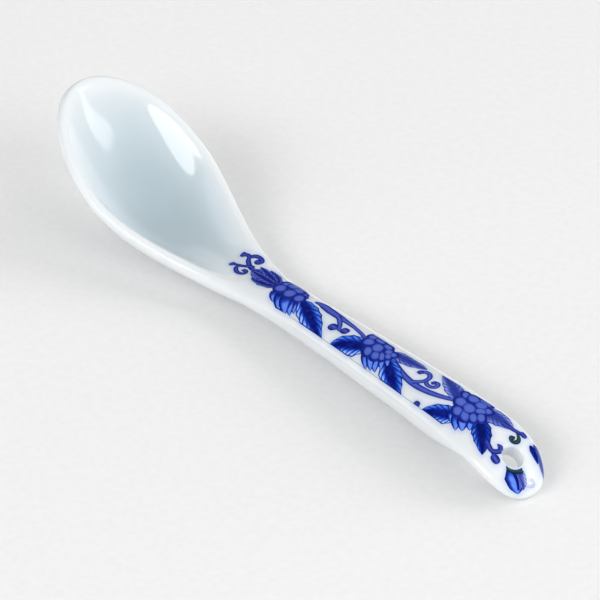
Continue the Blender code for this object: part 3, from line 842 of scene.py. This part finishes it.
def cluster(places, turns, sizes, petal, finish):
    """Flat mesh of one petal shape at many places."""
    mesh = bpy.data.meshes.new("cluster_points")
    mesh.from_pydata(places, [], [])
    for name, values in (("turn", [(0, 0, t) for t in turns]), ("size", sizes)):
        mesh.attributes.new(name, "FLOAT_VECTOR", "POINT").data.foreach_set("vector", np.ravel(values))
    return run_tree(PETAL_CLUSTER, put_in_scene("cluster_points", mesh),
                    {"Petal": petal, "Finish": finish})


def petals(rows):
    """Scale petals as (along, across, length, width, degrees), each over the one before it, and the
    dark ground that shows between them."""
    turns = [math.radians(turn) for a, b, length, width, turn in rows]
    parts = []
    for rim, layer, step, finish in ((GROUND_RIM, PETAL_LAYER - GROUND_DROP, GROUND_STEP, GROUND_FINISH),
                                     (0.0, PETAL_LAYER, PETAL_STEP, PETAL_FINISH)):
        places = [(a, b, layer + step * i) for i, (a, b, *rest) in enumerate(rows)]
        sizes = [(PETAL_SWELL * length / 2 + rim, PETAL_SWELL * width / 2 + rim, 1)
                 for a, b, length, width, turn in rows]
        parts.append(cluster(places, turns, sizes, DISC, finish))
    return parts


def blades(rows, finish, layer=1):
    """Pointed sepals as (base, tip, width), each over the one before it."""
    places, turns, sizes = [], [], []
    for i, (base, tip, width) in enumerate(rows):
        reach = np.subtract(tip, base)
        places.append((*base, layer + BLADE_STEP * i))
        turns.append(math.atan2(reach[1], reach[0]))
        sizes.append((float(np.hypot(*reach)), BLADE_SWELL * width / 2, 1))
    return cluster(places, turns, sizes, BLADE, finish)


def balls(rows, finish, layer=3):
    """Round stroke ends as (along, across, radius)."""
    places = [(a, b, layer + BALL_STEP * i) for i, (a, b, radius) in enumerate(rows)]
    return cluster(places, [0] * len(rows), [(r, r, 1) for a, b, r in rows], DISC, finish)


def trimmed(parts, edge, keep):
    """Cuts flat parts along an edge of the sheet; keep 1 keeps what lies above, -1 below.
    A dark line of gathered colour is drawn along each cut."""
    stations, heights = np.array(edge).T
    lines = []
    for mesh in parts:
        shape = bmesh.new()
        shape.from_mesh(mesh)
        run = [v.co.x for v in shape.verts]
        start, end = min(run), max(run)
        low, high = np.interp((start, end), stations, heights)
        normal = Vector((high - low, start - end, 0)).normalized() * keep
        whole = shape.verts[:] + shape.edges[:] + shape.faces[:]
        cut = bmesh.ops.bisect_plane(shape, geom=whole, dist=CUT_TOLERANCE, plane_co=(start, low, 0),
                                     plane_no=normal, clear_outer=True)
        touched = [v.co.copy() for v in cut["geom_cut"] if isinstance(v, bmesh.types.BMVert)]
        shape.to_mesh(mesh)
        shape.free()
        if touched:
            first = min(touched, key=lambda p: p.x)
            last = max(touched, key=lambda p: p.x)
            inset = keep * CUT_LINE_HALF
            line = [(first.x, first.y + inset), (last.x, last.y + inset)]
            lines.append(stroke(line, (CUT_LINE_HALF, CUT_LINE_HALF), EDGE_FINISH, first.z + CUT_LINE_RISE))
    return [*parts, *lines]


def above_low_edge(*parts):
    """Parts cut along the sheet's lower edge."""
    return trimmed(parts, LOW_EDGE, 1)


def below_high_edge(*parts):
    """Parts cut along the sheet's upper edge."""
    return trimmed(parts, HIGH_EDGE, -1)


def sheet_edge(start, end):
    """Faint line that the sheet's lower edge leaves on the glaze between two stations."""
    stations, heights = np.array(LOW_EDGE).T
    run = np.linspace(start, end, 4)
    line = list(zip(run, np.interp(run, stations, heights)))
    return stroke(line, (SHEET_LINE_HALF, SHEET_LINE_HALF), SHEET_FINISH)


def print_piece(name, parts, node):
    """Joins flat parts into one print, lays it on the handle and puts it in its node's place."""
    shape = bmesh.new()
    finishes = []
    for part in parts:
        finish = next(material for material in part.materials if material)
        if finish not in finishes:
            finishes.append(finish)
        known = len(shape.faces)
        shape.from_mesh(part)
        shape.faces.ensure_lookup_table()
        for face in shape.faces[known:]:
            face.material_index = finishes.index(finish)
            face.normal_update()
            if face.normal.z < 0:
                face.normal_flip()
    laid = lay_on_handle([v.co for v in shape.verts])
    for vert, place in zip(shape.verts, laid):
        vert.co = Vector(place)
    over_hole = from_hole(laid)[0] < HOLE_DIAMETER / 2
    bmesh.ops.delete(shape, geom=[v for v, over in zip(shape.verts[:], over_hole) if over], context="VERTS")
    piece = shape_object(name, shape)
    mesh = piece.data
    for finish in finishes:
        mesh.materials.append(finish)
    mesh.shade_smooth()
    for spare in ("half_width", "along", "across"):
        if spare in mesh.attributes:
            mesh.attributes.remove(mesh.attributes[spare])
    PRINTS.append(piece)
    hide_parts(node)
    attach(piece, "root")


def printed_points():
    """Search tree of the points of the laid print that the blue bleeds from."""
    thin = (EDGE_FINISH, SHEET_FINISH, FAINT_FINISH)
    points = [face.center for piece in PRINTS for face in piece.data.polygons
              if piece.data.materials[face.material_index] not in thin]
    tree = KDTree(len(points))
    for i, point in enumerate(points):
        tree.insert(point, i)
    tree.balance()
    return tree


# Finishes of the body and of each part of the print, and the shapes that clusters repeat
BODY_FINISH = celadon_porcelain()
PETAL_FINISH = cobalt_petals()
BLADE_FINISH = cobalt_blades()
LEAF_FINISH = cobalt_leaf("cobalt_leaf_underglaze", 0.65,
                          ((0.0, "#060F66"), (0.20, "#0F2E9C"), (0.44, "#2052CA"), (0.72, "#5284EE"),
                           (1.0, "#9CBCFC")), "#0B1870")
DARK_LEAF_FINISH = cobalt_leaf("dense_cobalt_leaf_underglaze", 0.6,
                               ((0.0, "#050E5C"), (0.3, "#0A2488"), (0.7, "#1740B2"), (1.0, "#4A74E0")),
                               "#081460")
PALE_LEAF_FINISH = cobalt_leaf("washed_cobalt_leaf_underglaze", 0.8,
                               ((0.0, "#28388F"), (0.35, "#3E4FA8"), (0.7, "#5C6EC6"), (1.0, "#8C9BE2")),
                               "#263690")
BUD_FINISH = cobalt_leaf("cobalt_bud_underglaze", 0.9,
                         ((0.0, "#121B78"), (0.35, "#27359A"), (0.7, "#4655B2"), (1.0, "#6F7CCC")),
                         "#10186C")
STEM_FINISH = cobalt_line("cobalt_stem_underglaze", "#1E2E92", "#4E5EBC")
CURL_FINISH = cobalt_line("cobalt_curl_underglaze", "#182380", "#3B49A4")
EDGE_FINISH = cobalt_line("cobalt_edge_underglaze", "#0C1670", "#0C1670")
GROUND_FINISH = cobalt_line("gathered_cobalt_underglaze", "#17237E", "#1E2D92")
SHEET_FINISH = cobalt_line("washed_cobalt_edge_underglaze", "#8E98BC", "#8E98BC")
FAINT_FINISH = cobalt_line("faint_cobalt_underglaze", "#A9B0E0", "#C2C8EC")
SOOT_FINISH = cobalt_line("overfired_cobalt_underglaze", "#10222C", "#2C4C54")
DISC = disc_petal()
BLADE = pointed_blade()

print_piece("bud_curl_print", [
    stroke([(50.6, 1.9), (49.2, 2.3), (47.8, 3.1), (47.0, 4.0), (47.5, 4.65), (48.7, 5.0), (49.8, 4.75),
            (50.3, 4.2), (49.9, 3.75), (49.2, 3.95)], (0.55, 0.5, 0.5, 0.45, 0.5), CURL_FINISH),
    stroke([(47.0, 4.1), (46.2, 4.4), (45.3, 4.2)], (0.5, 0.4, 0.45), CURL_FINISH, 1),
    stroke([(50.2, 2.3), (49.0, 2.2), (48.0, 1.8), (46.9, 1.5), (45.7, 1.25)], (0.5, 0.42, 0.4),
           CURL_FINISH, 1),
    stroke([(47.4, 1.7), (47.0, 0.9), (48.0, -0.1), (49.5, -0.6), (50.5, -0.1), (50.1, 0.6), (49.4, 0.75)],
           (0.42, 0.46, 0.45, 0.5), CURL_FINISH, 2),
    balls([(45.0, 4.15, 0.62), (45.3, 1.1, 0.65), (49.3, 3.95, 0.5), (49.4, 0.75, 0.5)], CURL_FINISH),
], "bud_curl_transfer")

print_piece("bud_print", [
    leaf([(60.3, 0.4), (57, 0.8), (53.5, 1.4), (50.4, 1.8)], 2.6, BUD_FINISH, lobes=4, lean=0.8),
    leaf([(59.4, -0.1), (56.5, -0.6), (53.2, -0.7)], 1.0, BUD_FINISH, 1, lobes=3),
    leaf([(59.2, 1.2), (56.8, 2.6), (53.6, 3.7)], 0.95, BUD_FINISH, 1, lobes=3),
    leaf([(58.6, 0.9), (55, 2.3), (51.2, 3.2)], 1.0, BUD_FINISH, 2, lobes=3),
    leaf([(58.8, 0.5), (54.5, 1.0), (50.5, 1.5)], 1.0, BUD_FINISH, 3, lobes=3),
], "bud_transfer")

print_piece("flower_print_1", [
    *above_low_edge(
        leaf([(67.2, 0.2), (70, -1.2), (74, -3.1), (78.4, -5.3)], 2.35, LEAF_FINISH, mirror=True)),
    *above_low_edge(
        blades([((60.7, -1.0), (63.0, -3.5), 1.4), ((66.2, -0.8), (69.0, -3.5), 1.2),
                ((62.2, -0.8), (65.7, -4.6), 1.8), ((65.1, -0.8), (68.5, -4.2), 1.5),
                ((63.8, -0.8), (67.4, -4.5), 1.9)], BLADE_FINISH)),
    blades([((63.6, 2.0), (66.9, 2.1), 1.6), ((64.6, 1.2), (67.6, 1.4), 1.5)], PETAL_FINISH, 2),
    *petals([(60.3, 2.3, 1.6, 1.5, 0), (61.9, 2.5, 2.4, 1.5, 0), (64.0, 2.1, 2.2, 1.6, -10),
             (66.3, 0.2, 2.0, 1.8, -40), (60.8, 0.3, 2.4, 2.0, -40), (63.6, 0.2, 2.5, 2.3, -40)]),
    sheet_edge(68.5, 81.0),
], "flower_transfer_1")

print_piece("stem_print_1", [
    stroke([(69.3, 1.5), (70.4, 1.9), (72.5, 1.75), (75, 1.5), (77.5, 1.35), (80, 1.2), (83, 0.75),
            (85.8, 0.0)], (0.35, 0.95, 1.0, 0.85, 0.6, 0.45, 0.42, 0.40), STEM_FINISH),
], "stem_transfer_1")

print_piece("stem_curl_print_1", [
    stroke([(75.6, 1.4), (77.0, 0.9), (78.3, -0.1), (79.0, -1.0), (78.6, -1.7), (78.0, -1.7)],
           (0.6, 0.5, 0.45), STEM_FINISH, 1),
    stroke([(79.0, -0.7), (79.7, -1.4), (80.6, -1.2)], (0.4, 0.4), STEM_FINISH, 1),
    balls([(78.1, -1.6, 0.95), (80.7, -0.95, 0.9)], CURL_FINISH),
    balls([(78.2, -1.5, 0.45), (80.75, -0.9, 0.4)], STEM_FINISH, 4),
], "stem_curl_transfer_1")

print_piece("flower_print_2", [
    *above_low_edge(
        leaf([(88.0, -1.3), (85.2, -2.4), (82.8, -3.7), (80.6, -5.4)], 2.8, LEAF_FINISH),
        leaf([(92.9, -1.2), (95.4, -3.0), (98.2, -4.8), (101.8, -6.9)], 2.3, LEAF_FINISH, mirror=True)),
    *below_high_edge(leaf([(91.8, 1.0), (95, 1.2), (99.9, 2.1)], 1.7, PALE_LEAF_FINISH, lobes=4)),
    *above_low_edge(
        blades([((86.6, -1.2), (89.2, -3.6), 1.2), ((92.2, -0.7), (94.3, -2.5), 1.1),
                ((87.9, -1.8), (91.0, -5.2), 1.5), ((91.3, -1.2), (93.9, -3.7), 1.2),
                ((90.2, -1.7), (93.3, -4.8), 1.5), ((89.1, -1.8), (92.2, -5.0), 1.4)], BLADE_FINISH)),
    *below_high_edge(
        *petals([(85.8, 1.5, 1.6, 1.4, 0), (87.6, 1.6, 2.2, 1.0, 0), (90.0, 1.4, 2.0, 1.1, -10),
                 (92.6, 0.4, 1.4, 1.1, -30), (91.3, 0.4, 1.4, 1.3, -30), (86.5, -0.1, 2.0, 1.9, -40),
                 (88.4, -2.0, 2.3, 1.4, -42), (92.3, -0.6, 1.5, 1.1, -40), (91.5, -1.4, 2.2, 1.0, -42),
                 (90.4, -2.0, 2.1, 1.5, -42), (89.0, -0.2, 2.4, 2.0, -40)])),
    sheet_edge(86.0, 107.0),
], "flower_transfer_2")

print_piece("stem_print_2", [
    stroke([(93.3, -0.4), (97, -1.8), (101, -2.5), (105, -2.1), (108, -1.0), (109.8, 0.0)],
           (0.50, 0.62, 0.66, 0.62, 0.52), STEM_FINISH),
], "stem_transfer_2")

print_piece("stem_curl_print_2", [
    stroke([(100.8, -2.3), (101.9, -1.2), (102.2, 0.2), (101.6, 1.2), (100.5, 1.4), (99.8, 0.7)],
           (0.5, 0.48, 0.48, 0.55), STEM_FINISH, 1),
    stroke([(102.2, -0.2), (103.0, -0.9), (104.2, -0.9), (104.8, -0.1), (104.3, 0.6), (103.6, 0.3)],
           (0.42, 0.46, 0.5), STEM_FINISH, 1),
    balls([(99.75, 0.55, 0.6), (103.7, 0.2, 0.5)], CURL_FINISH),
], "stem_curl_transfer_2")

print_piece("edge_bud_print", above_low_edge(balls([(105.2, -5.4, 0.72)], CURL_FINISH)),
            "edge_bud_transfer")

print_piece("flower_print_3", [
    *below_high_edge(leaf([(109.9, 0.3), (107, 2.0), (102.6, 3.4)], 1.9, PALE_LEAF_FINISH, lobes=4)),
    *above_low_edge(leaf([(113.6, -2.6), (110.6, -4.0), (106.7, -6.1)], 2.3, LEAF_FINISH, lobes=4)),
    *below_high_edge(leaf([(114.4, 2.0), (117, 3.0), (120.6, 3.6)], 2.5, PALE_LEAF_FINISH, lobes=4)),
    leaf([(115.6, 0.3), (118.2, -1.7), (121.7, -4.8)], 1.9, DARK_LEAF_FINISH, mirror=True),
    blades([((111.4, -2.2), (113.5, -4.4), 1.2), ((112.6, -2.2), (115.2, -5.0), 1.5),
            ((114.8, -1.1), (117.0, -3.3), 1.3), ((113.7, -1.8), (116.2, -4.3), 1.6)], BLADE_FINISH),
    *below_high_edge(
        *petals([(109.7, 2.5, 1.9, 1.2, -40), (113.1, 4.1, 2.6, 1.3, 8), (111.3, 2.9, 2.3, 2.0, -20),
                 (115.2, 2.6, 1.7, 1.6, 0), (113.5, 2.7, 2.1, 2.0, 0), (114.6, 1.5, 1.5, 1.8, -40),
                 (110.7, 0.4, 2.4, 1.9, -40), (112.2, -1.7, 2.3, 1.6, -40), (115.9, 0.4, 2.0, 1.3, -40),
                 (115.1, -0.7, 2.2, 1.2, -40), (113.9, -1.6, 2.4, 1.4, -40), (112.9, 0.4, 2.5, 2.0, -40)])),
], "flower_transfer_3")

print_piece("tendril_print_right", [
    stroke([(118.6, 2.9), (120.0, 3.4), (121.1, 4.0), (121.9, 4.6)], (0.6, 0.5, 0.45), CURL_FINISH, 1),
    stroke([(121.2, 3.8), (122.2, 3.3), (122.6, 2.3), (122.1, 1.6), (121.6, 2.1), (122.0, 2.5)],
           (0.25, 0.34, 0.36, 0.34, 0.4), SOOT_FINISH),
    balls([(121.95, 4.7, 0.68)], CURL_FINISH),
], "tendril_transfer_right")

print_piece("tendril_print_left", [
    stroke([(120.2, -2.4), (121.3, -2.8), (122.0, -2.85), (122.5, -2.2), (122.6, -1.6), (122.2, -1.0),
            (121.8, -1.4)], (0.5, 0.5, 0.45, 0.42, 0.4), CURL_FINISH, 1),
    stroke([(122.0, -2.8), (122.7, -3.0), (123.2, -3.3)], (0.42, 0.45), CURL_FINISH),
    balls([(123.3, -3.3, 0.78)], CURL_FINISH),
    balls([(123.35, -3.3, 0.38)], STEM_FINISH, 4),
], "tendril_transfer_left")

print_piece("tip_leaf_print_right", [
    leaf([(124.2, 5.0), (126.0, 5.0), (128.7, 3.7)], 1.0, PALE_LEAF_FINISH, lobes=3),
    leaf([(123.8, 4.4), (124.9, 4.5), (126.6, 3.7)], 0.95, DARK_LEAF_FINISH, 1, lobes=2),
    stroke([(124.1, 5.2), (125.0, 6.0), (126.4, 5.8), (127.7, 4.9), (128.7, 3.8)],
           (0.5, 0.45, 0.32, 0.3, 0.3), CURL_FINISH, 2),
], "tip_leaf_transfer_right")

print_piece("tip_leaf_print_left", [
    leaf([(124.9, -1.5), (126.6, -2.1), (128.9, -2.9)], 1.8, BLADE_FINISH, lobes=3, lean=1.2),
    leaf([(125.7, -0.6), (127.1, -0.8), (128.8, -1.7)], 1.0, PALE_LEAF_FINISH, 1, lobes=2),
    stroke([(126.0, -1.7), (127.3, -1.9), (128.5, -2.5)], (0.35, 0.3, 0.2), EDGE_FINISH, 2),
    stroke([(125.1, -2.5), (125.9, -1.3), (126.5, 0.1)], (0.5, 0.65, 0.4), SOOT_FINISH, 3),
    stroke([(128.05, -0.5), (128.5, -0.6), (128.85, 0.0), (128.65, 0.9), (128.2, 1.0), (128.2, 0.4)],
           (0.2, 0.24, 0.2), FAINT_FINISH),
], "tip_leaf_transfer_left")

for shape in (DISC, BLADE):
    bpy.data.objects.remove(shape, do_unlink=True)

body = glazed_body(BODY_FINISH, printed_points())
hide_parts("spoon_body")
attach(body, "root")

# Lamps: name, degrees round from the camera's far side to its right, degrees up, metres away,
# width, height, degrees rolled, watts, and whether the glaze mirrors it
LAMPS = (("left_softbox", -141, 34.5, 2.0, 1.9, 0.62, 0, 17.0, True),
         ("right_softbox", 94, 35, 3.0, 0.54, 0.90, 45, 4.4, True),
         ("left_wall", -115, 25, 2.0, 1.6, 1.6, 0, 12.0, False),
         ("right_wall", 72, 24, 2.0, 1.6, 1.6, 0, 21.0, False),
         ("front_wall", 132, 28, 2.0, 1.6, 1.6, 0, 19.0, False),
         ("back_wall", 0, 32, 2.0, 1.6, 1.6, 0, 8.0, False))
# Walls of the room: brightness near the horizon and overhead, the share that the glaze mirrors, and
# how far up the horizon's light ends and the zenith's starts; half the side of the table, in metres
HORIZON_LIGHT = 0.28
ZENITH_LIGHT = 0.24
MIRRORED_ROOM = 0.2
HORIZON_END = 0.1
ZENITH_START = 0.8
FLOOR_HALF = 2.0


def stage():
    """Table, lamps, surrounding light and camera."""
    scene = bpy.context.scene
    mesh = bpy.data.meshes.new("table")
    corners = [(x * FLOOR_HALF, y * FLOOR_HALF, 0) for x, y in ((-1, -1), (1, -1), (1, 1), (-1, 1))]
    mesh.from_pydata(corners, [], [(0, 1, 2, 3)])
    mesh.materials.append(matt_paper())
    put_in_scene("table", mesh)

    aim = Vector(CAMERA_AIM)
    turn = math.radians(CAMERA_TURN)
    rise = math.radians(CAMERA_RISE)
    right = Vector((math.cos(turn), math.sin(turn), 0))
    back = Vector((-math.sin(turn), math.cos(turn), 0))

    def stand(name, data, direction, distance):
        """Puts a lamp or the camera at a distance from the spot, and turns it to face it."""
        item = put_in_scene(name, data)
        item.location = aim + distance * direction
        item.rotation_euler = (-direction).to_track_quat("-Z", "Y").to_euler()
        return item

    view = bpy.data.cameras.new("camera")
    view.lens = CAMERA_LENS
    view.sensor_width = CAMERA_SENSOR
    outward = -back * math.cos(rise) + Vector((0, 0, math.sin(rise)))
    scene.camera = stand("camera", view, outward, CAMERA_DISTANCE)
    for name, round_by, up_by, distance, width, height, roll, watts, mirrored in LAMPS:
        lamp = bpy.data.lights.new(name, "AREA")
        lamp.shape = "ELLIPSE"
        lamp.size = width
        lamp.size_y = height
        lamp.energy = watts
        bearing = math.radians(round_by)
        lift = math.radians(up_by)
        level = math.sin(bearing) * right + math.cos(bearing) * back
        light = stand(name, lamp, math.cos(lift) * level + Vector((0, 0, math.sin(lift))), distance)
        light.rotation_euler = (light.rotation_euler.to_matrix()
                                @ Matrix.Rotation(math.radians(roll), 3, "Z")).to_euler()
        light.visible_glossy = mirrored

    world = bpy.data.worlds.new("studio")
    scene.world = world
    world.use_nodes = True
    walls = world.node_tree
    sky = add(walls, "ShaderNodeTexCoord").outputs["Generated"]
    part = add(walls, "ShaderNodeSeparateXYZ", {0: sky})
    glow = add(walls, "ShaderNodeMapRange", {"Value": part.outputs["Z"], "From Min": HORIZON_END,
                                             "From Max": ZENITH_START, "To Min": HORIZON_LIGHT,
                                             "To Max": ZENITH_LIGHT})
    mirrored = add(walls, "ShaderNodeLightPath").outputs["Is Glossy Ray"]
    share = add(walls, "ShaderNodeMapRange", {"Value": mirrored, "To Min": 1.0, "To Max": MIRRORED_ROOM})
    shown = add(walls, "ShaderNodeMath", {0: glow, 1: share}, operation="MULTIPLY")
    give(walls, walls.nodes["Background"], {"Color": (1, 1, 1, 1), "Strength": shown})
    scene.view_settings.view_transform = "Standard"


stage()
